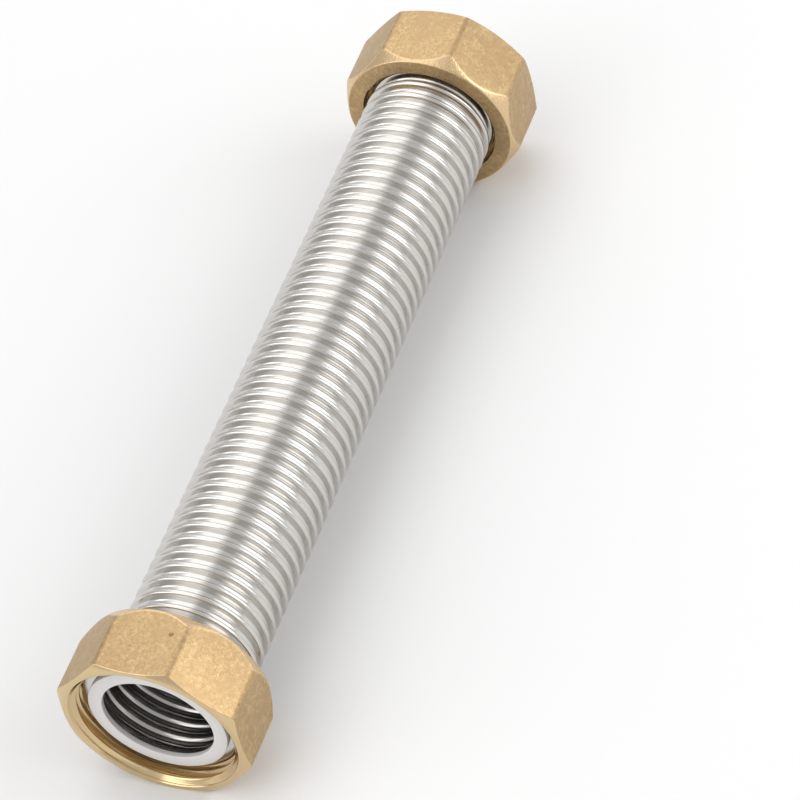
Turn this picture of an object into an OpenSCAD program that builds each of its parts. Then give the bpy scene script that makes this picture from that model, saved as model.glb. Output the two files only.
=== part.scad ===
// Water heater connector hose: a corrugated stainless tube with a flange formed at each end,
// a loose eight-sided brass union nut behind each flange, and a flat washer on each flange.
// The hose lies on a flat of each nut, along X. Both nuts are slid back from their flanges.

/* [Corrugated tube] */
// Bore of the tube, across the inner crests
tube_bore_d = 32.4; // [28:0.2:36]
// Thickness of the tube's sheet
tube_wall = 0.4; // [0.3:0.05:0.6]
// Height of a corrugation, outside of a valley to outside of a crest
corr_depth = 2.6; // [1.8:0.1:3.4]
// Distance from one crest to the next
corr_pitch = 4.66; // [4.2:0.02:6]
// Number of crests
corr_count = 48; // [12:1:60]
// Turn of the sheet from the top of a crest to its flank, in degrees
flank_angle = 78; // [68:1:84]
// Share of the crest in the two rounds of a corrugation
crest_share = 0.38; // [0.36:0.01:0.6]
// Straight neck between the bend of a flange and the first valley
neck_l = 0.1; // [0.1:0.1:6]

/* [End flanges] */
// Width of a flange beyond the hole in a nut's back wall
flange_bearing = 1.8; // [1:0.1:3]
// Bend between a flange and its neck
fold_r = 0.5; // [0.3:0.1:0.9]
// Softened edge of the bore in a flange's face
flange_edge = 0.25; // [0.1:0.05:0.35]

/* [Washers] */
// Thickness of a washer
washer_t = 1.5; // [1:0.1:3]
// Step from the tube's bore in to the washer's hole
washer_step = 0.45; // [0.2:0.05:2]
// Width of the washer's ring
washer_band = 3.85; // [2.5:0.05:5]

/* [Union nuts] */
// Length of the threaded stretch, mouth bevel included
thread_l = 12.8; // [10:0.2:24]
// Depth of the thread
thread_depth = 1.48; // [0.8:0.02:1.8]
// Length of the relief behind the thread
relief_l = 5.4; // [2.2:0.1:8]
// Radial room of the relief beyond the thread's roots
relief_clear = 0.2; // [0.1:0.05:0.6]
// Thickness of the back wall
back_wall = 3; // [2:0.1:5]
// Wall left between the relief and a flat
nut_wall = 1.5; // [1.2:0.1:5]
// Rounding of the eight corner edges
corner_r = 2.6; // [1:0.1:6]
// Width of the mouth bevel beyond the thread's roots
bevel_w = 0.1; // [0.05:0.05:0.8]
// Distance from a flat in to the edge of the mouth face
mouth_face_step = 0.2; // [0.05:0.05:0.6]
// Slope of the mouth's outer chamfer, from the mouth face
mouth_slope = 30; // [15:1:45]
// Distance from a flat in to the edge of the back face
back_face_step = 0.35; // [0.2:0.05:1.5]
// Slope of the back's outer chamfer, from the back face
back_slope = 60; // [30:1:66]
// Broken edge of the hole in the back wall
hole_edge = 0.4; // [0.2:0.1:0.8]

/* [Fits] */
// Radial room of a crest in the hole of the back wall
crest_clear = 1; // [0.4:0.1:1.5]
// Radial room of a flange in the thread
flange_clear = 0.42; // [0.2:0.02:0.8]
// Room between a flange and its nut's back wall when the nut is on its seat
seat_gap = 0.2; // [0.05:0.05:0.5]
// How far the near nut is slid back from its seat on the flange
near_slide = 12.1; // [0:0.1:14]
// How far the far nut is slid back from its seat on the flange
far_slide = 2.6; // [0:0.1:14]

/* [Hidden] */
$fn = 96;
ROUND_STEPS = 6;
EDGE_STEPS = 3;
SIDES = 8;
PAST = 1;

STEEL = [0.77, 0.76, 0.74];
BRASS = [0.81, 0.67, 0.43];
WASHER_GREY = [0.88, 0.87, 0.88];

// Radii of the tube. The sheet is offset from its outer face, so both faces share their centres.
bore_r = tube_bore_d / 2;
valley_r = bore_r + tube_wall;
crest_r = valley_r + corr_depth;

// Both rounds of a corrugation and the straight flank between them are tangent.
rounds_sum = (corr_pitch / 2 * sin(flank_angle) - corr_depth * cos(flank_angle)) / (1 - cos(flank_angle));
crest_round = rounds_sum * crest_share;
valley_round = rounds_sum - crest_round;
crest_centre_r = crest_r - crest_round;
valley_centre_r = valley_r + valley_round;

// A flange is the sheet folded double. Its rim clears the thread that slides over it.
flange_t = 2 * tube_wall;
hole_r = crest_r + crest_clear;
flange_r = hole_r + flange_bearing;
first_crest = flange_t + fold_r + neck_l + corr_pitch / 2;
tube_l = 2 * first_crest + (corr_count - 1) * corr_pitch;

washer_hole_r = bore_r - washer_step;
washer_r = washer_hole_r + washer_band;

// The nut is sized outwards from the flange that passes through its thread.
thread_r = flange_r + flange_clear;
root_r = thread_r + thread_depth;
relief_r = root_r + relief_clear;
flat_r = relief_r + nut_wall;
bevel_r = root_r + bevel_w;
nut_h = back_wall + relief_l + thread_l;

// Places along the hose. A reach is the length from a nut's mouth to the face of its flange.
seat_reach = nut_h - back_wall - seat_gap - flange_t;
near_reach = seat_reach - near_slide;
far_reach = seat_reach - far_slide;
hose_l = near_reach + tube_l + far_reach;
near_mouth_x = -hose_l / 2;
tube_x = near_mouth_x + near_reach;
far_mouth_x = hose_l / 2;
axis_z = flat_r;

// Points [radius, height] on an arc about a centre at radius c and height h.
function arc(c, h, r, from, to, steps) =
    [for (i = [0:steps]) let (t = from + (to - from) * i / steps) [c + r * cos(t), h + r * sin(t)]];

function reversed(points) = [for (i = [len(points) - 1:-1:0]) points[i]];
function far_end(points) = [for (p = reversed(points)) [p[0], tube_l - p[1]]];
function crest_h(i) = first_crest + i * corr_pitch;

// One face of the corrugated sheet: offset is 0 for the outer face and the wall for the inner one.
function crest(i, offset) =
    arc(crest_centre_r, crest_h(i), crest_round - offset, -flank_angle, flank_angle, ROUND_STEPS);
function valley(i, offset) =
    arc(valley_centre_r, crest_h(i) + corr_pitch / 2, valley_round + offset,
        180 + flank_angle, 180 - flank_angle, ROUND_STEPS);
function half_valley(offset) =
    arc(valley_centre_r, first_crest - corr_pitch / 2, valley_round + offset,
        180, 180 - flank_angle, EDGE_STEPS);
function waves(offset) =
    [for (i = [0:corr_count - 1]) each concat(crest(i, offset), i < corr_count - 1 ? valley(i, offset) : [])];

// The flange from the edge of the bore, over its rim and down its back to the neck.
flange = concat(
    arc(bore_r + flange_edge, flange_edge, flange_edge, 180, 270, EDGE_STEPS),
    arc(flange_r - flange_t / 2, flange_t / 2, flange_t / 2, -90, 90, ROUND_STEPS),
    arc(valley_r + fold_r, flange_t + fold_r, fold_r, 270, 180, EDGE_STEPS)
);

tube_outside = concat(flange, half_valley(0), waves(0), far_end(half_valley(0)), far_end(flange));
tube_inside = concat(half_valley(tube_wall), waves(tube_wall), far_end(half_valley(tube_wall)));

// The nut's eight flats, with a rounded edge between each two.
nut_outline = [
    for (side = [0:SIDES - 1], i = [0:ROUND_STEPS])
    let (
        corner = (side + 0.5) * 360 / SIDES,
        centre = (flat_r - corner_r) / cos(180 / SIDES),
        t = side * 360 / SIDES + i * 360 / SIDES / ROUND_STEPS
    )
    [centre * cos(corner) + corner_r * cos(t), centre * sin(corner) + corner_r * sin(t)]
];

// The turned faces and chamfers that end the flats, from the back face at height 0 to the mouth.
blank_r = flat_r / cos(180 / SIDES) + PAST;
back_face_r = flat_r - back_face_step;
mouth_face_r = flat_r - mouth_face_step;
nut_blank = [
    [0, 0],
    [back_face_r, 0],
    [blank_r, (blank_r - back_face_r) * tan(back_slope)],
    [blank_r, nut_h - (blank_r - mouth_face_r) * tan(mouth_slope)],
    [mouth_face_r, nut_h],
    [0, nut_h]
];

// The hole, the relief with its sloped shoulder, the thread at its crests and the mouth bevel.
relief_end = back_wall + relief_l;
nut_bore = [
    [0, -PAST],
    [hole_r + hole_edge, -PAST],
    [hole_r + hole_edge, 0],
    [hole_r, hole_edge],
    [hole_r, back_wall],
    [relief_r, back_wall],
    [relief_r, relief_end - (relief_r - thread_r)],
    [thread_r, relief_end],
    [thread_r, nut_h - (bevel_r - thread_r)],
    [bevel_r, nut_h],
    [bevel_r, nut_h + PAST],
    [0, nut_h + PAST]
];

module union_nut() {
    difference() {
        intersection() {
            linear_extrude(nut_h) polygon(nut_outline);
            rotate_extrude() polygon(nut_blank);
        }
        rotate_extrude() polygon(nut_bore);
    }
}

module washer() {
    difference() {
        cylinder(h = washer_t, r = washer_r);
        translate([0, 0, -PAST]) cylinder(h = washer_t + 2 * PAST, r = washer_hole_r);
    }
}

// Lays a turned piece along the hose, with its height running towards the far end.
module along(x) {
    translate([x, 0, axis_z]) rotate([0, 90, 0]) children();
}

module corrugated_tube() {
    color(STEEL) along(tube_x) rotate_extrude() polygon(concat(tube_outside, reversed(tube_inside)));
}

module near_nut() {
    color(BRASS) along(near_mouth_x + nut_h) mirror([0, 0, 1]) union_nut();
}

module far_nut() {
    color(BRASS) along(far_mouth_x - nut_h) union_nut();
}

module near_washer() {
    color(WASHER_GREY) along(tube_x - washer_t) washer();
}

module far_washer() {
    color(WASHER_GREY) along(tube_x + tube_l) washer();
}

corrugated_tube();
near_nut();
far_nut();
near_washer();
far_washer();
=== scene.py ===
"""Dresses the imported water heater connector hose: tube, union nuts, washers and studio."""

import math

import bpy
from bpy.props import FloatProperty, FloatVectorProperty, IntProperty, PointerProperty
from mathutils import Matrix, Vector


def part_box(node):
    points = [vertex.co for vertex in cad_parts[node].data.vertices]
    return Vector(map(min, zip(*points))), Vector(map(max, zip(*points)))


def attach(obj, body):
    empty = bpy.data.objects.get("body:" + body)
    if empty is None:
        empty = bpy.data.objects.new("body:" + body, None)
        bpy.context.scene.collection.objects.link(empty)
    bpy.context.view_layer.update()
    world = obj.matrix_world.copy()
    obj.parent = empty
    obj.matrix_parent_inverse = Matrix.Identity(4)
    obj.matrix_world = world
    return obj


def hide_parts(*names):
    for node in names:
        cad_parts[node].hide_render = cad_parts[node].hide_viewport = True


bl_info = {
    "name": "Water Heater Connector Hose",
    "version": (1, 0, 0),
    "blender": (4, 5, 0),
    "location": "View3D > Sidebar > Hose",
    "description": "Models the corrugated hose, its union nuts and washers, and the studio",
    "category": "Object",
}

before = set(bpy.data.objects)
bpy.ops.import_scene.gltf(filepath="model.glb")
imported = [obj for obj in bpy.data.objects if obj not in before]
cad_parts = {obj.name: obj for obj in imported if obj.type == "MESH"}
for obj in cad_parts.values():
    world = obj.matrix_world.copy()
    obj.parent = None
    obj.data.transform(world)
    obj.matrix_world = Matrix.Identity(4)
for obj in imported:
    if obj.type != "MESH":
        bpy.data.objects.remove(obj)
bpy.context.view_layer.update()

# The hose lies along X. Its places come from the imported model's own boxes.
TUBE_NEAR, TUBE_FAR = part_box("corrugated_tube")
NUT_NEAR, NUT_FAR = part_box("far_nut")
NEAR_NUT_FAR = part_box("near_nut")[1]
WASHER_NEAR, WASHER_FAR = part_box("near_washer")
FAR_WASHER_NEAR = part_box("far_washer")[0]
AXIS_Z = (NUT_NEAR.z + NUT_FAR.z) / 2
FLAT_R = (NUT_FAR.z - NUT_NEAR.z) / 2
NUT_H = NUT_FAR.x - NUT_NEAR.x
FLANGE_R = (TUBE_FAR.z - TUBE_NEAR.z) / 2
WASHER_R = (WASHER_FAR.z - WASHER_NEAR.z) / 2

SIDES = 8
CORNER_AT = FLAT_R / math.cos(math.pi / SIDES)
TURN = 2 * math.pi

# Steps along the rounds of a profile, and round a turned or threaded piece
VALLEY_STEPS = 3
CREST_STEPS = 7
INNER_CREST_STEPS = 3
EDGE_STEPS = 3
FOLD_STEPS = 4
RIM_STEPS = 8
CORNER_STEPS = 6
LATHE_STEPS = 128
THREAD_STEPS = 96

# Points closer than WELD are one point. An edge shorter than DEGENERATE is none.
WELD = 1e-6
DEGENERATE = 1e-7
# Width of the slivers that a cut leaves, in the bore and where the flats end
SLIVER = 1e-5
END_SLIVER = 6e-5
# How far a turned tool reaches past the nut
PAST = 0.001

# A nut's edges that turn more than this are bevelled
BEVEL_ANGLE = math.radians(25)
# Edges that turn less than these look smooth
TUBE_SMOOTH = math.radians(60)
NUT_SMOOTH = math.radians(32)
WASHER_SMOOTH = math.radians(40)

# The pipe thread: half of its angle, and how far its groove overlaps the bore
THREAD_HALF_ANGLE = math.radians(27.5)
BORE_OVERLAP = 0.00015
# Half width and rounding of the groove's root, as shares of the pitch
ROOT_HALF_SHARE = 0.085
ROOT_ROUND_SHARE = 0.05
# The flat's share of that half width, and the rounding's spread as a share of itself
ROOT_FLAT = 0.55
ROOT_LEAN = 0.35

# A small pit that the forging left on the near nut's top flat, and its radius
CASTING_PIT = (-0.1091, -0.0067, 0.0512)
CASTING_PIT_R = 0.0008
# Half width of the worn line along a nut's back chamfer, brightened in colour as a painted
# highlight
WEAR_AND_HIGHLIGHT_HALF = 0.0007

# The photograph's view. The heading is from +Y towards +X.
CAMERA_AT = Vector((-0.61348, -0.40929, 0.79931))
CAMERA_HEADING = math.radians(57.996)
CAMERA_DOWN = math.radians(47.046)
CAMERA_ROLL = math.radians(-16.976)
CAMERA_LENS = 171.83
CAMERA_SENSOR = 36
CAMERA_CLIP = 0.05

# The soft lamps: name, x on the hose's axis, heading from +X towards +Y and height in degrees,
# size and power. The strips and their cores make the two bands along the tube.
LAMPS = (
    ("left_strip", 0.15, 90, 70, (3.4, 1.25), 4.4),
    ("left_core", 0.15, 90, 72, (3.4, 0.85), 5.2),
    ("right_strip", 0.24, 270, 30.5, (1.2, 1.25), 3.2),
    ("right_core", 0.24, 270, 31, (1.0, 0.76), 3.4),
    ("far_light", 0, 30, 30, (1.0, 0.6), 1.2),
    ("far_right_light", 0, 340, 12, (0.7, 0.36), 1.2),
    ("fill_light", 0, 142, 22, (1.0, 0.5), 2.4),
)
LAMP_GAP = 1.2
FLOOR_SIZE = 6
FLOOR_ROUGHNESS = 0.9
ROOM_GREY = 0.66


# Sizes and colours that a user would change


class HoseTubeSettings(bpy.types.PropertyGroup):
    """Sizes of the corrugated tube"""

    bore_r: FloatProperty(
        name="Bore Radius", description="Radius over the inner crests",
        default=0.0162, unit="LENGTH")
    wall: FloatProperty(
        name="Sheet", description="Thickness of the tube's sheet", default=0.0004, unit="LENGTH")
    depth: FloatProperty(
        name="Corrugation Depth", description="Valley to crest, outside",
        default=0.0026, unit="LENGTH")
    pitch: FloatProperty(
        name="Pitch", description="Distance between two crests",
        default=0.00466, unit="LENGTH")
    crests: IntProperty(name="Crests", description="Number of crests", default=48, min=2)
    flank: FloatProperty(
        name="Flank Angle", description="Turn of the sheet from a crest's top to its flank",
        default=math.radians(78), subtype="ANGLE")
    crest_share: FloatProperty(
        name="Crest Share", description="Share of the crest in a corrugation's two rounds",
        default=0.38)
    neck: FloatProperty(
        name="Neck", description="Straight stretch from the bend of a flange to the first valley",
        default=0.0001, unit="LENGTH")
    fold_r: FloatProperty(
        name="Fold Radius", description="Bend between a flange and its neck",
        default=0.0005, unit="LENGTH")
    edge_r: FloatProperty(
        name="Edge Radius", description="Softened edge of the bore at a flange",
        default=0.00025, unit="LENGTH")
    segments: IntProperty(name="Segments", description="Steps round the tube", default=72, min=24)


class HoseNutSettings(bpy.types.PropertyGroup):
    """Sizes of a union nut"""

    back_wall: FloatProperty(
        name="Back Wall", description="Thickness of the wall behind the flange",
        default=0.003, unit="LENGTH")
    hole_r: FloatProperty(
        name="Hole Radius", description="Hole in the back wall", default=0.0202, unit="LENGTH")
    hole_edge: FloatProperty(
        name="Hole Edge", description="Broken edge of the hole", default=0.0004, unit="LENGTH")
    relief_r: FloatProperty(
        name="Relief Radius", description="Relief behind the thread",
        default=0.0241, unit="LENGTH")
    relief_l: FloatProperty(
        name="Relief Length", description="Length of the relief", default=0.0054, unit="LENGTH")
    thread_r: FloatProperty(
        name="Thread Crest Radius", description="Radius over the thread's crests",
        default=0.02242, unit="LENGTH")
    root_r: FloatProperty(
        name="Thread Root Radius", description="Radius at the thread's roots",
        default=0.0239, unit="LENGTH")
    thread_pitch: FloatProperty(
        name="Thread Pitch", description="Pipe thread, eleven turns to the inch",
        default=0.0254 / 11, unit="LENGTH")
    bevel_r: FloatProperty(
        name="Mouth Bevel Radius", description="Wide end of the mouth's bevel",
        default=0.024, unit="LENGTH")
    corner_r: FloatProperty(
        name="Corner Radius", description="Rounding of the eight corner edges",
        default=0.0026, unit="LENGTH")
    mouth_step: FloatProperty(
        name="Mouth Face Step", description="From a flat in to the mouth face",
        default=0.0002, unit="LENGTH")
    mouth_slope: FloatProperty(
        name="Mouth Slope", description="Slope of the mouth's outer chamfer",
        default=math.radians(30), subtype="ANGLE")
    back_step: FloatProperty(
        name="Back Face Step", description="From a flat in to the back face",
        default=0.00035, unit="LENGTH")
    back_slope: FloatProperty(
        name="Back Slope", description="Slope of the back's outer chamfer",
        default=math.radians(60), subtype="ANGLE")
    back_edge: FloatProperty(
        name="Back Edges", description="Rounding of the edges round the back face",
        default=0.0003, unit="LENGTH")
    mouth_edge: FloatProperty(
        name="Mouth Edges", description="Rounding of the edges round the mouth face",
        default=0.0001, unit="LENGTH")


class HoseWasherSettings(bpy.types.PropertyGroup):
    """Sizes of a washer"""

    hole_r: FloatProperty(
        name="Hole Radius", description="Radius of the washer's hole",
        default=0.01575, unit="LENGTH")
    edge: FloatProperty(
        name="Edge", description="Softened edge of the washer", default=0.00018, unit="LENGTH")


class HoseColourSettings(bpy.types.PropertyGroup):
    """Colours of the finishes and the studio"""

    steel: FloatVectorProperty(
        name="Steel", description="Bright stainless sheet", default=(0.72, 0.7, 0.67),
        subtype="COLOR", min=0, max=1)
    cast: FloatVectorProperty(
        name="Cast Brass", description="Matte forged skin", default=(0.55, 0.39, 0.205),
        subtype="COLOR", min=0, max=1)
    turned: FloatVectorProperty(
        name="Turned Brass", description="Bright machined brass", default=(0.74, 0.58, 0.35),
        subtype="COLOR", min=0, max=1)
    washer: FloatVectorProperty(
        name="Washer", description="Light grey sealing washer", default=(0.76, 0.745, 0.735),
        subtype="COLOR", min=0, max=1)
    floor: FloatVectorProperty(
        name="Floor", description="Pale studio floor", default=(0.8, 0.8, 0.8),
        subtype="COLOR", min=0, max=1)


# Small helpers for modelling by operators


def deselect_all():
    """Leaves edit mode and deselects everything."""
    if bpy.context.object and bpy.context.object.mode != "OBJECT":
        bpy.ops.object.mode_set(mode="OBJECT")
    bpy.ops.object.select_all(action="DESELECT")


def only(piece):
    """Selects this piece alone and makes it the active one."""
    deselect_all()
    piece.select_set(True)
    bpy.context.view_layer.objects.active = piece


def edit():
    """Goes into edit mode with everything selected."""
    bpy.ops.object.mode_set(mode="EDIT")
    bpy.ops.mesh.select_all(action="SELECT")


def leave_edit():
    """Goes back to object mode."""
    bpy.ops.object.mode_set(mode="OBJECT")


def duplicate(piece, name):
    """A copy of a piece with a mesh of its own."""
    only(piece)
    bpy.ops.object.duplicate(linked=False)
    copy = bpy.context.object
    copy.name = name
    return copy


def join(parts):
    """Joins the parts into the first one."""
    only(parts[0])
    for part in parts[1:]:
        part.select_set(True)
    bpy.ops.object.join()
    return bpy.context.object


def merge_close(piece, distance):
    """Merges points closer than this, such as a cut leaves where two facets nearly meet."""
    only(piece)
    edit()
    bpy.ops.mesh.remove_doubles(threshold=distance)
    bpy.ops.mesh.select_all(action="SELECT")
    bpy.ops.mesh.dissolve_degenerate(threshold=distance / 4)
    leave_edit()


def apply_modifier(piece, kind, **settings):
    """Adds a modifier with these settings and applies it."""
    only(piece)
    modifier = piece.modifiers.new(kind.title(), kind)
    for key, value in settings.items():
        setattr(modifier, key, value)
    bpy.ops.object.modifier_apply(modifier=modifier.name)


def place(piece, matrix):
    """Moves a piece by its mesh, so that its object stays at the origin."""
    only(piece)
    piece.matrix_world = matrix
    bpy.ops.object.transform_apply(location=True, rotation=True, scale=True)


def chain(name, points):
    """A line of edges through the points: one vertex, extruded from point to point."""
    deselect_all()
    bpy.ops.mesh.primitive_plane_add(size=0.001, location=(0, 0, 0))
    line = bpy.context.object
    line.name = name
    edit()
    bpy.ops.mesh.merge(type="CENTER")
    bpy.ops.transform.translate(value=points[0])
    for start, end in zip(points, points[1:]):
        bpy.ops.mesh.extrude_region_move(TRANSFORM_OT_translate={"value": end - start})
    leave_edit()
    return line


def loop(name, points):
    """A closed line of edges through the points."""
    line = chain(name, points + points[:1])
    edit()
    bpy.ops.mesh.remove_doubles(threshold=WELD)
    leave_edit()
    return line


def spin_closed(piece, steps):
    """Spins a profile all the way round the hose's axis and closes it."""
    only(piece)
    edit()
    bpy.ops.mesh.spin(
        steps=steps, angle=TURN, center=(0, 0, AXIS_Z), axis=(1, 0, 0), use_auto_merge=True)
    bpy.ops.mesh.select_all(action="SELECT")
    bpy.ops.mesh.remove_doubles(threshold=WELD)
    bpy.ops.mesh.normals_make_consistent(inside=False)
    leave_edit()


def shade(piece, angle):
    """Shades a piece smooth across edges that turn less than this."""
    only(piece)
    bpy.ops.object.shade_smooth_by_angle(angle=angle)


def on_profile(radius, x):
    """A profile's point at a distance from the hose's axis."""
    return Vector((x, 0, AXIS_Z + radius))


def arc(x, radius_at, r, start, end, steps):
    """Profile points on an arc about (x, radius_at). Angles run from outwards to +X, in degrees."""
    turns = [math.radians(start + (end - start) * i / steps) for i in range(steps + 1)]
    return [on_profile(radius_at + r * math.cos(t), x + r * math.sin(t)) for t in turns]


# Node helpers


def new_material(name):
    """The node tree and the shader of a new material."""
    material = bpy.data.materials.new(name)
    material.use_nodes = True
    return material.node_tree, material.node_tree.nodes["Principled BSDF"]


def node(tree, kind, inputs=None, **settings):
    """A node with its settings and inputs. A socket is linked to its input, a number is set."""
    made = tree.nodes.new(kind)
    for key, value in settings.items():
        setattr(made, key, value)
    for key, value in (inputs or {}).items():
        if isinstance(value, bpy.types.NodeSocket):
            tree.links.new(value, made.inputs[key])
        else:
            made.inputs[key].default_value = value
    return made


def ramp(tree, fac, stops):
    """A mask that goes from one (position, grey level) stop to the other as the factor rises."""
    made = node(tree, "ShaderNodeValToRGB", {"Fac": fac})
    for element, (position, level) in zip(made.color_ramp.elements, stops):
        element.position = position
        element.color = (level, level, level, 1)
    return made.outputs["Color"]


def new_group(name, inputs, outputs):
    """A shader node group with float inputs (name, default) and float outputs."""
    tree = bpy.data.node_groups.new(name, "ShaderNodeTree")
    for label, default in inputs:
        socket = tree.interface.new_socket(label, in_out="INPUT", socket_type="NodeSocketFloat")
        socket.default_value = default
    for label in outputs:
        tree.interface.new_socket(label, in_out="OUTPUT", socket_type="NodeSocketFloat")
    return tree, tree.nodes.new("NodeGroupInput"), tree.nodes.new("NodeGroupOutput")


def use_group(tree, group, inputs=None):
    """Places a node group with values for its named inputs."""
    made = tree.nodes.new("ShaderNodeGroup")
    made.node_tree = group
    for key, value in (inputs or {}).items():
        made.inputs[key].default_value = value
    return made


def math_node(tree, operation, *values):
    """The result of an operation on sockets or numbers."""
    made = tree.nodes.new("ShaderNodeMath")
    made.operation = operation
    for socket, value in zip(made.inputs, values):
        if isinstance(value, bpy.types.NodeSocket):
            tree.links.new(value, socket)
        else:
            socket.default_value = value
    return made.outputs[0]


def mix_colour(tree, fac, a, b):
    """Goes from colour a to colour b as the factor goes from 0 to 1. Each may be a socket."""
    made = tree.nodes.new("ShaderNodeMix")
    made.data_type = "RGBA"
    colour_sockets = [s for s in made.inputs if s.type == "RGBA"]
    for socket, value in zip((made.inputs[0], *colour_sockets), (fac, a, b)):
        if isinstance(value, bpy.types.NodeSocket):
            tree.links.new(value, socket)
        else:
            socket.default_value = value if socket.type == "VALUE" else (*value[:3], 1)
    return next(s for s in made.outputs if s.type == "RGBA")


def radius_group():
    """Distance from the hose's axis, place along it, and how far a face looks inwards."""
    tree, _, end = new_group("hose_radius", [], ["Radius", "Along", "Inward"])
    place_at = node(tree, "ShaderNodeTexCoord")
    parts = node(tree, "ShaderNodeSeparateXYZ", {"Vector": place_at.outputs["Object"]})
    up = math_node(tree, "SUBTRACT", parts.outputs["Z"], AXIS_Z)
    offset = node(tree, "ShaderNodeCombineXYZ", {"Y": parts.outputs["Y"], "Z": up})
    across = offset.outputs["Vector"]
    length = node(tree, "ShaderNodeVectorMath", {0: across}, operation="LENGTH")
    tree.links.new(length.outputs["Value"], end.inputs["Radius"])
    tree.links.new(parts.outputs["X"], end.inputs["Along"])
    outward = node(tree, "ShaderNodeVectorMath", {0: across}, operation="NORMALIZE")
    facing = node(tree, "ShaderNodeVectorMath", {
        0: place_at.outputs["Normal"], 1: outward.outputs["Vector"]}, operation="DOT_PRODUCT")
    inward = math_node(tree, "MULTIPLY", facing.outputs["Value"], -1.0)
    tree.links.new(inward, end.inputs["Inward"])
    return tree


def turned_rings_group(radius):
    """Fine rings left by turning or rolling: a mask from 0 to 1 that changes across the rings."""
    tree, start, end = new_group("turned_rings", [("Rings", 4000.0), ("Drift", 0.002)], ["Mask"])
    where = use_group(tree, radius)
    along = math_node(tree, "ADD", where.outputs["Along"], where.outputs["Radius"])
    object_at = node(tree, "ShaderNodeTexCoord").outputs["Object"]
    wander = node(tree, "ShaderNodeTexNoise", {"Vector": object_at, "Scale": 60.0, "Detail": 2.0})
    drift = math_node(tree, "MULTIPLY", wander.outputs["Fac"], start.outputs["Drift"])
    drifted = math_node(tree, "ADD", along, drift)
    across = math_node(tree, "MULTIPLY", drifted, start.outputs["Rings"])
    lines = node(tree, "ShaderNodeTexNoise", {
        "W": across, "Scale": 1.0, "Detail": 3.0, "Roughness": 0.6}, noise_dimensions="1D")
    tree.links.new(lines.outputs["Fac"], end.inputs["Mask"])
    return tree


def grain_group():
    """Cast or moulded grain: a coarse and a fine noise, mixed."""
    tree, start, end = new_group(
        "cast_grain", [("Coarse", 900.0), ("Fine", 3500.0), ("Fine Share", 0.5)], ["Mask"])
    object_at = node(tree, "ShaderNodeTexCoord").outputs["Object"]
    masks = []
    for label in ("Coarse", "Fine"):
        noise = node(tree, "ShaderNodeTexNoise", {
            "Vector": object_at, "Scale": start.outputs[label], "Detail": 3.0, "Roughness": 0.6})
        masks.append(noise.outputs["Fac"])
    gap = math_node(tree, "SUBTRACT", masks[1], masks[0])
    finer = math_node(tree, "MULTIPLY", gap, start.outputs["Fine Share"])
    mixed = math_node(tree, "ADD", masks[0], finer)
    tree.links.new(mixed, end.inputs["Mask"])
    return tree


# Finishes


def bump(tree, height, distance, strength):
    """A normal that follows a height mask, at most this many metres deep."""
    inputs = {"Height": height, "Distance": distance, "Strength": strength}
    return node(tree, "ShaderNodeBump", inputs).outputs["Normal"]


def rings_mask(tree, groups, rings, drift):
    """Fine rings, this many to the metre, that wander by this much."""
    return use_group(tree, groups["rings"], {"Rings": rings, "Drift": drift}).outputs["Mask"]


def grain_mask(tree, groups, coarse, fine, share):
    """A grain of these two scales, and the share of the fine one."""
    inputs = {"Coarse": coarse, "Fine": fine, "Fine Share": share}
    return use_group(tree, groups["grain"], inputs).outputs["Mask"]


def tint(colour, red, green, blue):
    """A colour with each of its parts times a number."""
    return tuple(min(1, part * by) for part, by in zip(colour, (red, green, blue)))


def roughness(tree, shader, mask, change, start):
    """Roughness that goes from the start by the change as the mask goes from 0 to 1."""
    rough = math_node(tree, "MULTIPLY_ADD", mask, change, start)
    tree.links.new(rough, shader.inputs["Roughness"])


def near_point(tree, at, radius):
    """A mask that is 1 at a point of the piece and falls to 0 at this radius."""
    object_at = node(tree, "ShaderNodeTexCoord").outputs["Object"]
    gap = node(tree, "ShaderNodeVectorMath", {0: object_at, 1: at}, operation="DISTANCE")
    share = math_node(tree, "DIVIDE", gap.outputs["Value"], radius)
    return math_node(tree, "SUBTRACT", 1.0, share)


def wear_and_highlight_edge(tree, radius):
    """A mask of the edge where a nut's flats meet its back chamfer: partly wear, partly a painted
    highlight line.

    It serves both nuts, as their mouths stand equally far from the hose's middle.
    """
    settings = bpy.context.scene.hose_nut
    where = use_group(tree, radius)
    from_middle = math_node(tree, "ABSOLUTE", where.outputs["Along"])
    height = math_node(tree, "SUBTRACT", from_middle, NUT_FAR.x - NUT_H)
    out = math_node(tree, "SUBTRACT", where.outputs["Radius"], FLAT_R - settings.back_step)
    cone = math_node(tree, "MULTIPLY", out, math.tan(settings.back_slope))
    gap = math_node(tree, "ABSOLUTE", math_node(tree, "SUBTRACT", height, cone))
    return math_node(tree, "SUBTRACT", 1.0, math_node(tree, "DIVIDE", gap, WEAR_AND_HIGHLIGHT_HALF))


def formed_steel(colours, groups):
    """Bright formed sheet with fine rings, duller in places, with painted shade on the faces inside
    the tube.
    """
    tree, shader = new_material("formed_steel")
    rings = rings_mask(tree, groups, 9000.0, 0.0004)
    grain = grain_mask(tree, groups, 120.0, 900.0, 0.4)
    steel = tuple(colours.steel)
    dull = tint(steel, 0.82, 0.82, 0.82)
    # Painted shade: faces that look inwards take this darker steel, standing in for the dark
    # interior they reflect.
    inner = tint(steel, 0.62, 0.62, 0.62)
    colour = mix_colour(tree, ramp(tree, rings, [(0.3, 0), (0.7, 1)]), dull, steel)
    inward = use_group(tree, groups["radius"]).outputs["Inward"]
    colour = mix_colour(tree, ramp(tree, inward, [(0.02, 0), (0.12, 1)]), colour, inner)
    tree.links.new(colour, shader.inputs["Base Color"])
    shader.inputs["Metallic"].default_value = 1
    roughness(tree, shader, grain, 0.05, 0.155)
    tree.links.new(bump(tree, rings, 0.00002, 0.05), shader.inputs["Normal"])


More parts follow.
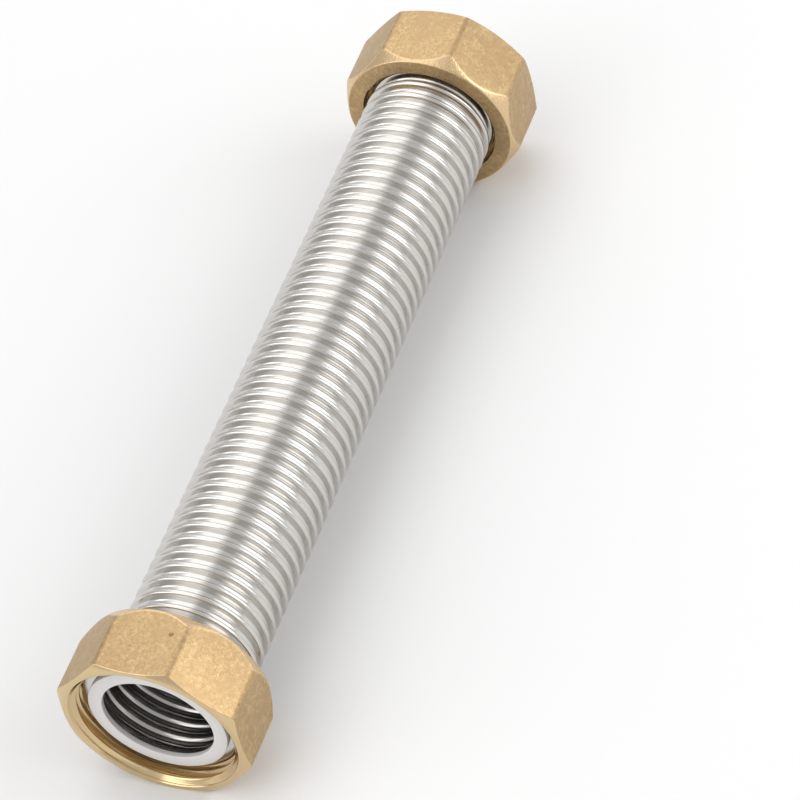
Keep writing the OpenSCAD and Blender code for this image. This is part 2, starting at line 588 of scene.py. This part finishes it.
def forged_brass(colours, groups):
    """Matte forged skin: sandy grain, bright specks that are partly painted glints, dull patches,
    pores, a pit darkened with painted shade, worn edges brightened as a painted highlight.
    """
    tree, shader = new_material("forged_brass")
    grain = grain_mask(tree, groups, 800.0, 2200.0, 0.5)
    patches = grain_mask(tree, groups, 90.0, 300.0, 0.45)
    pores = grain_mask(tree, groups, 500.0, 1200.0, 0.3)
    pit = near_point(tree, CASTING_PIT, CASTING_PIT_R)
    edge = math_node(tree, "MULTIPLY", wear_and_highlight_edge(tree, groups["radius"]), grain)
    # Partly wear, partly painted highlight: along this edge the colour brightens to the specks'
    # colour.
    worn_and_highlight = ramp(tree, edge, [(0.15, 0), (0.4, 1)])
    skin = tuple(colours.cast)
    sandy = tint(skin, 0.76, 0.73, 0.68)
    # The bright specks' colour is paler and whiter than the skin: partly the grain's own tone,
    # partly painted glints.
    point = tint(skin, 1.3, 1.33, 1.45)
    dull = tint(skin, 0.84, 0.8, 0.8)
    dark = tint(skin, 0.42, 0.36, 0.32)
    colour = mix_colour(tree, ramp(tree, grain, [(0.4, 0), (0.54, 1)]), sandy, skin)
    colour = mix_colour(tree, ramp(tree, grain, [(0.55, 0), (0.66, 1)]), colour, point)
    colour = mix_colour(tree, ramp(tree, patches, [(0.4, 0.7), (0.56, 0)]), colour, dull)
    colour = mix_colour(tree, ramp(tree, pores, [(0.3, 0.75), (0.36, 0)]), colour, dark)
    # Painted shade: the colour darkens inside the pit's dent.
    colour = mix_colour(tree, ramp(tree, pit, [(0.1, 0), (0.9, 0.65)]), colour, dark)
    # The edge's brighter colour is partly a painted highlight; its lower roughness below is the
    # wear.
    colour = mix_colour(tree, worn_and_highlight, colour, point)
    tree.links.new(colour, shader.inputs["Base Color"])
    shader.inputs["Metallic"].default_value = 1
    skin_rough = math_node(tree, "MULTIPLY_ADD", grain, 0.16, 0.34)
    roughness(tree, shader, worn_and_highlight, -0.16, skin_rough)
    dent = math_node(tree, "MULTIPLY", math_node(tree, "MAXIMUM", pit, 0.0), -2.0)
    height = math_node(tree, "ADD", grain, dent)
    tree.links.new(bump(tree, height, 0.0003, 0.6), shader.inputs["Normal"])


def turned_brass(colours, groups):
    """Bright machined brass at the mouth, the thread and the bore."""
    tree, shader = new_material("turned_brass")
    rings = rings_mask(tree, groups, 7000.0, 0.0002)
    turned = tuple(colours.turned)
    deep = tint(turned, 0.86, 0.8, 0.7)
    colour = mix_colour(tree, ramp(tree, rings, [(0.35, 0), (0.65, 1)]), deep, turned)
    tree.links.new(colour, shader.inputs["Base Color"])
    shader.inputs["Metallic"].default_value = 1
    roughness(tree, shader, rings, 0.1, 0.12)
    tree.links.new(bump(tree, rings, 0.00003, 0.3), shader.inputs["Normal"])


def seal_grey(colours, groups):
    """Light grey sealing material with faint turned rings."""
    tree, shader = new_material("seal_grey")
    rings = rings_mask(tree, groups, 3500.0, 0.0006)
    grain = grain_mask(tree, groups, 500.0, 2500.0, 0.5)
    pale = tuple(colours.washer)
    faint = tint(pale, 0.9, 0.9, 0.9)
    colour = mix_colour(tree, ramp(tree, rings, [(0.3, 0), (0.7, 1)]), faint, pale)
    tree.links.new(colour, shader.inputs["Base Color"])
    roughness(tree, shader, grain, 0.15, 0.42)
    tree.links.new(bump(tree, rings, 0.00004, 0.3), shader.inputs["Normal"])


class HOSE_OT_finishes(bpy.types.Operator):
    """Makes the finishes of the steel, the forged and turned brass and the washers"""

    bl_idname = "hose.finishes"
    bl_label = "Finishes"

    def execute(self, context):
        groups = {"radius": radius_group(), "grain": grain_group()}
        groups["rings"] = turned_rings_group(groups["radius"])
        for finish in (formed_steel, forged_brass, turned_brass, seal_grey):
            finish(context.scene.hose_colours, groups)
        return {"FINISHED"}


# Corrugated tube


def corrugation(settings):
    """Radii of a corrugation's two rounds and where their centres lie, from the tangent flank."""
    lean = settings.flank
    both = settings.pitch / 2 * math.sin(lean) - settings.depth * math.cos(lean)
    both /= 1 - math.cos(lean)
    crest = both * settings.crest_share
    valley_r = settings.bore_r + settings.wall
    return {
        "crest": crest,
        "valley": both - crest,
        "crest_at": valley_r + settings.depth - crest,
        "valley_at": valley_r + both - crest,
        "valley_r": valley_r,
    }


def wave(settings, shape, first_x, offset, crest_steps):
    """One pitch of the sheet's outer (offset 0) or inner face, from one valley to the next."""
    lean = math.degrees(settings.flank)
    half = settings.pitch / 2
    low_r = shape["valley"] + offset
    points = arc(first_x - half, shape["valley_at"], low_r, 180, 180 - lean, VALLEY_STEPS)
    points += arc(first_x, shape["crest_at"], shape["crest"] - offset, -lean, lean, crest_steps)
    points += arc(first_x + half, shape["valley_at"], low_r, 180 + lean, 180, VALLEY_STEPS)
    return points


def tube_end(settings, shape, x, first_x):
    """The near end's profile: bore, flange face, rim, back and neck, up to the first valley."""
    bore_r, edge, fold = settings.bore_r, settings.edge_r, settings.fold_r
    flange_t = 2 * settings.wall
    half_rim = flange_t / 2
    valley_x = first_x - settings.pitch / 2
    points = [on_profile(bore_r, valley_x)]
    points += arc(x + edge, bore_r + edge, edge, 180, 270, EDGE_STEPS)
    points += arc(x + half_rim, FLANGE_R - half_rim, half_rim, -90, 90, RIM_STEPS)
    points += arc(x + flange_t + fold, shape["valley_r"] + fold, fold, 270, 180, FOLD_STEPS)
    points.append(on_profile(shape["valley_r"], valley_x))
    return points


class HOSE_OT_corrugated_tube(bpy.types.Operator):
    """Models the tube: one corrugation, repeated along the hose and spun round its axis"""

    bl_idname = "hose.corrugated_tube"
    bl_label = "Corrugated Tube"

    def execute(self, context):
        settings = context.scene.hose_tube
        shape = corrugation(settings)
        neck_end = TUBE_NEAR.x + 2 * settings.wall + settings.fold_r + settings.neck
        first_x = neck_end + settings.pitch / 2
        outside = chain("tube_outside", wave(settings, shape, first_x, 0, CREST_STEPS))
        inner_wave = wave(settings, shape, first_x, settings.wall, INNER_CREST_STEPS)
        inside = chain("tube_inside", inner_wave)
        waves = join([outside, inside])
        apply_modifier(waves, "ARRAY", count=settings.crests, use_relative_offset=False,
                       use_constant_offset=True, constant_offset_displace=(settings.pitch, 0, 0),
                       use_merge_vertices=True, merge_threshold=WELD)
        near_end = chain("tube_near_end", tube_end(settings, shape, TUBE_NEAR.x, first_x))
        far_end = duplicate(near_end, "tube_far_end")
        middle = TUBE_NEAR.x + TUBE_FAR.x
        place(far_end, Matrix.Translation((middle, 0, 0)) @ Matrix.Scale(-1, 4, (1, 0, 0)))
        tube = join([waves, near_end, far_end])
        tube.name = "corrugated_sheet"
        edit()
        bpy.ops.mesh.remove_doubles(threshold=WELD)
        leave_edit()
        spin_closed(tube, settings.segments)
        shade(tube, TUBE_SMOOTH)
        finish_of(tube, "formed_steel")
        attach(tube, "hose")
        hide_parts("corrugated_tube")
        return {"FINISHED"}


# Union nuts


def octagon_prism():
    """Eight flats with rounded upright edges, longer than the nut at both ends."""
    settings = bpy.context.scene.hose_nut
    deselect_all()
    half_turn = math.pi / SIDES
    bpy.ops.mesh.primitive_circle_add(
        vertices=SIDES, radius=CORNER_AT, fill_type="NGON", rotation=(0, 0, half_turn))
    bpy.ops.object.transform_apply(location=True, rotation=True, scale=True)
    prism = bpy.context.object
    edit()
    width = settings.corner_r * math.tan(half_turn)
    bpy.ops.mesh.bevel(offset=width, segments=CORNER_STEPS, affect="VERTICES")
    bpy.ops.mesh.select_all(action="SELECT")
    bpy.ops.mesh.extrude_region_move(TRANSFORM_OT_translate={"value": (0, 0, 1.5 * NUT_H)})
    bpy.ops.mesh.select_all(action="SELECT")
    bpy.ops.transform.translate(value=(0, 0, -NUT_H / 4))
    bpy.ops.mesh.normals_make_consistent(inside=False)
    leave_edit()
    return prism


def lathe(name, profile):
    """A turned solid from (radius, height) points that begin and end on the Z axis."""
    line = chain(name, [Vector((r, 0, h)) for r, h in profile])
    edit()
    bpy.ops.mesh.spin(
        steps=LATHE_STEPS, angle=TURN, center=(0, 0, 0), axis=(0, 0, 1), use_auto_merge=True)
    bpy.ops.mesh.select_all(action="SELECT")
    bpy.ops.mesh.remove_doubles(threshold=WELD)
    bpy.ops.mesh.dissolve_degenerate(threshold=DEGENERATE)
    bpy.ops.mesh.normals_make_consistent(inside=False)
    leave_edit()
    return line


def turned_end(face_r, slope):
    """A turned solid for one end of the nut: a face of this radius, and its chamfer."""
    past = CORNER_AT + PAST
    return lathe("turned_end", [
        (0, 0), (face_r, 0), (past, (past - face_r) * math.tan(slope)),
        (past, 2 * NUT_H), (0, 2 * NUT_H),
    ])


def bore_tool():
    """What is turned out of the nut: hole, relief, thread crests and mouth bevel."""
    s = bpy.context.scene.hose_nut
    wide_hole_r = s.hole_r + s.hole_edge
    relief_end = s.back_wall + s.relief_l
    return lathe("bore_tool", [
        (0, -PAST), (wide_hole_r, -PAST), (wide_hole_r, 0), (s.hole_r, s.hole_edge),
        (s.hole_r, s.back_wall), (s.relief_r, s.back_wall),
        (s.relief_r, relief_end - (s.relief_r - s.thread_r)), (s.thread_r, relief_end),
        (s.thread_r, NUT_H - (s.bevel_r - s.thread_r)), (s.bevel_r, NUT_H),
        (s.bevel_r, NUT_H + PAST), (0, NUT_H + PAST),
    ])


def thread_tool():
    """The groove of a right-handed thread: a rounded tooth swept along a helix by Screw."""
    s = bpy.context.scene.hose_nut
    inside = s.thread_r - BORE_OVERLAP
    root_half = s.thread_pitch * ROOT_HALF_SHARE
    base_half = root_half + (s.root_r - inside) * math.tan(THREAD_HALF_ANGLE)
    round_in = s.thread_pitch * ROOT_ROUND_SHARE
    start = s.back_wall + s.relief_l / 2
    turns = math.ceil((NUT_H - start) / s.thread_pitch) + 1
    upper_half = [
        (s.root_r, root_half * ROOT_FLAT),
        (s.root_r - round_in, root_half + round_in * ROOT_LEAN),
        (inside, base_half),
    ]
    outline = [(r, -h) for r, h in reversed(upper_half)] + upper_half
    tooth = loop("thread_tool", [Vector((r, 0, start + h)) for r, h in outline])
    apply_modifier(tooth, "SCREW", axis="Z", angle=TURN, screw_offset=s.thread_pitch,
                   iterations=turns, steps=THREAD_STEPS, render_steps=THREAD_STEPS)
    edit()
    bpy.ops.mesh.fill_holes(sides=len(outline))
    bpy.ops.mesh.select_all(action="SELECT")
    bpy.ops.mesh.normals_make_consistent(inside=False)
    leave_edit()
    return tooth


def cut(piece, tool, operation):
    """Cuts a piece with a tool. The cut faces take the tool's material."""
    apply_modifier(piece, "BOOLEAN", object=tool, operation=operation, solver="EXACT",
                   material_mode="TRANSFER")
    bpy.data.objects.remove(tool)


def finish_of(piece, material):
    """Gives a piece this one material."""
    piece.data.materials.clear()
    piece.data.materials.append(bpy.data.materials[material])


def union_nut():
    """One nut, with its back face at height 0 and its mouth upwards."""
    settings = bpy.context.scene.hose_nut
    nut = octagon_prism()
    finish_of(nut, "forged_brass")
    back = turned_end(FLAT_R - settings.back_step, settings.back_slope)
    mouth = turned_end(FLAT_R - settings.mouth_step, settings.mouth_slope)
    place(mouth, Matrix.Translation((0, 0, NUT_H)) @ Matrix.Rotation(math.pi, 4, "X"))
    for end, soft, finish in ((back, settings.back_edge, "forged_brass"),
                              (mouth, settings.mouth_edge, "turned_brass")):
        finish_of(end, finish)
        cut(nut, end, "INTERSECT")
        merge_close(nut, END_SLIVER)
        apply_modifier(nut, "BEVEL", width=soft, segments=EDGE_STEPS, limit_method="ANGLE",
                       angle_limit=BEVEL_ANGLE, use_clamp_overlap=False)
    for tool in (bore_tool(), thread_tool()):
        finish_of(tool, "turned_brass")
        cut(nut, tool, "DIFFERENCE")
        merge_close(nut, SLIVER)
    shade(nut, NUT_SMOOTH)
    return nut


class HOSE_OT_union_nuts(bpy.types.Operator):
    """Models one octagonal union nut with its thread and sets a copy at each end"""

    bl_idname = "hose.union_nuts"
    bl_label = "Union Nuts"

    def execute(self, context):
        far = union_nut()
        near = duplicate(far, "near_octagon_nut")
        far.name = "far_octagon_nut"
        to_far = Matrix.Rotation(math.pi / 2, 4, "Y")
        to_near = Matrix.Rotation(-math.pi / 2, 4, "Y")
        place(far, Matrix.Translation((NUT_NEAR.x, 0, AXIS_Z)) @ to_far)
        place(near, Matrix.Translation((NEAR_NUT_FAR.x, 0, AXIS_Z)) @ to_near)
        for piece, body, cad in ((near, "near_union", "near_nut"), (far, "far_union", "far_nut")):
            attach(piece, body)
            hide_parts(cad)
        return {"FINISHED"}


# Washers


class HOSE_OT_washers(bpy.types.Operator):
    """Models the flat washer with softened edges and sets a copy on each flange"""

    bl_idname = "hose.washers"
    bl_label = "Washers"

    def execute(self, context):
        settings = context.scene.hose_washer
        e = settings.edge
        inner, outer = settings.hole_r + e, WASHER_R - e
        low, high = WASHER_NEAR.x + e, WASHER_FAR.x - e
        corners = ((low, inner, 180), (low, outer, -90), (high, outer, 0), (high, inner, 90))
        outline = []
        for x, radius_at, start in corners:
            outline += arc(x, radius_at, e, start, start + 90, EDGE_STEPS)
        near = loop("near_seal", outline)
        spin_closed(near, LATHE_STEPS)
        shade(near, WASHER_SMOOTH)
        finish_of(near, "seal_grey")
        far = duplicate(near, "far_seal")
        place(far, Matrix.Translation((FAR_WASHER_NEAR.x - WASHER_NEAR.x, 0, 0)))
        for piece, cad in ((near, "near_washer"), (far, "far_washer")):
            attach(piece, "hose")
            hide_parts(cad)
        return {"FINISHED"}


# Studio


def softbox(name, x, heading, height, size, power):
    """A soft lamp that looks at a place on the hose's axis, from LAMP_GAP away."""
    data = bpy.data.lights.new(name, "AREA")
    data.shape = "RECTANGLE"
    data.size, data.size_y = size
    data.energy = power
    lamp = bpy.data.objects.new(name, data)
    bpy.context.scene.collection.objects.link(lamp)
    a, e = math.radians(heading), math.radians(height)
    towards = Vector((math.cos(a) * math.cos(e), math.sin(a) * math.cos(e), math.sin(e)))
    lamp.location = Vector((x, 0, AXIS_Z)) + LAMP_GAP * towards
    lamp.rotation_euler = (-towards).to_track_quat("-Z", "Y").to_euler()


def studio_floor(colours):
    """The pale surface that the hose lies on."""
    deselect_all()
    bpy.ops.mesh.primitive_plane_add(size=FLOOR_SIZE, location=(0, 0, 0))
    floor = bpy.context.object
    floor.name = "studio_floor"
    shader = new_material("studio_floor")[1]
    shader.inputs["Base Color"].default_value = (*colours.floor, 1)
    shader.inputs["Roughness"].default_value = FLOOR_ROUGHNESS
    finish_of(floor, "studio_floor")


def studio_world():
    """An evenly lit pale room."""
    world = bpy.data.worlds.new("studio")
    bpy.context.scene.world = world
    world.use_nodes = True
    background = world.node_tree.nodes["Background"]
    background.inputs["Color"].default_value = (ROOM_GREY, ROOM_GREY, ROOM_GREY, 1)


def studio_camera():
    """The photograph's camera, which looks down and is rolled."""
    data = bpy.data.cameras.new("camera")
    data.lens = CAMERA_LENS
    data.sensor_width = CAMERA_SENSOR
    data.clip_start = CAMERA_CLIP
    camera = bpy.data.objects.new("camera", data)
    bpy.context.scene.collection.objects.link(camera)
    heading = Matrix.Rotation(-CAMERA_HEADING, 4, "Z")
    turn = heading @ Matrix.Rotation(math.pi / 2 - CAMERA_DOWN, 4, "X")
    roll = Matrix.Rotation(CAMERA_ROLL, 4, "Z")
    camera.matrix_world = Matrix.Translation(CAMERA_AT) @ turn @ roll
    bpy.context.scene.camera = camera


class HOSE_OT_stage(bpy.types.Operator):
    """Makes the camera, the pale floor and the soft studio light"""

    bl_idname = "hose.stage"
    bl_label = "Stage"

    def execute(self, context):
        studio_camera()
        studio_floor(context.scene.hose_colours)
        studio_world()
        for lamp in LAMPS:
            softbox(*lamp)
        context.scene.view_settings.view_transform = "Standard"
        return {"FINISHED"}


class HOSE_PT_panel(bpy.types.Panel):
    """Lists the hose's pieces, sizes and colours"""

    bl_label = "Connector Hose"
    bl_idname = "HOSE_PT_panel"
    bl_space_type = "VIEW_3D"
    bl_region_type = "UI"
    bl_category = "Hose"

    def draw(self, context):
        for operator in OPERATORS:
            self.layout.operator(operator.bl_idname)
        for group in SETTINGS:
            box = self.layout.box()
            for name in SETTINGS[group].__annotations__:
                box.prop(getattr(context.scene, group), name)


SETTINGS = {
    "hose_tube": HoseTubeSettings,
    "hose_nut": HoseNutSettings,
    "hose_washer": HoseWasherSettings,
    "hose_colours": HoseColourSettings,
}
OPERATORS = (
    HOSE_OT_finishes, HOSE_OT_stage, HOSE_OT_corrugated_tube, HOSE_OT_union_nuts, HOSE_OT_washers)


def register():
    """Adds the settings, the operators and the panel."""
    for group, settings in SETTINGS.items():
        bpy.utils.register_class(settings)
        setattr(bpy.types.Scene, group, PointerProperty(type=settings))
    for operator in OPERATORS:
        bpy.utils.register_class(operator)
    bpy.utils.register_class(HOSE_PT_panel)


def unregister():
    """Removes the panel, the operators and the settings."""
    bpy.utils.unregister_class(HOSE_PT_panel)
    for operator in reversed(OPERATORS):
        bpy.utils.unregister_class(operator)
    for group, settings in reversed(SETTINGS.items()):
        delattr(bpy.types.Scene, group)
        bpy.utils.unregister_class(settings)


def main():
    """Makes the finishes, the stage and every piece."""
    register()
    bpy.ops.hose.finishes()
    bpy.ops.hose.stage()
    bpy.ops.hose.corrugated_tube()
    bpy.ops.hose.union_nuts()
    bpy.ops.hose.washers()
    bpy.context.view_layer.update()


if __name__ == "__main__":
    main()
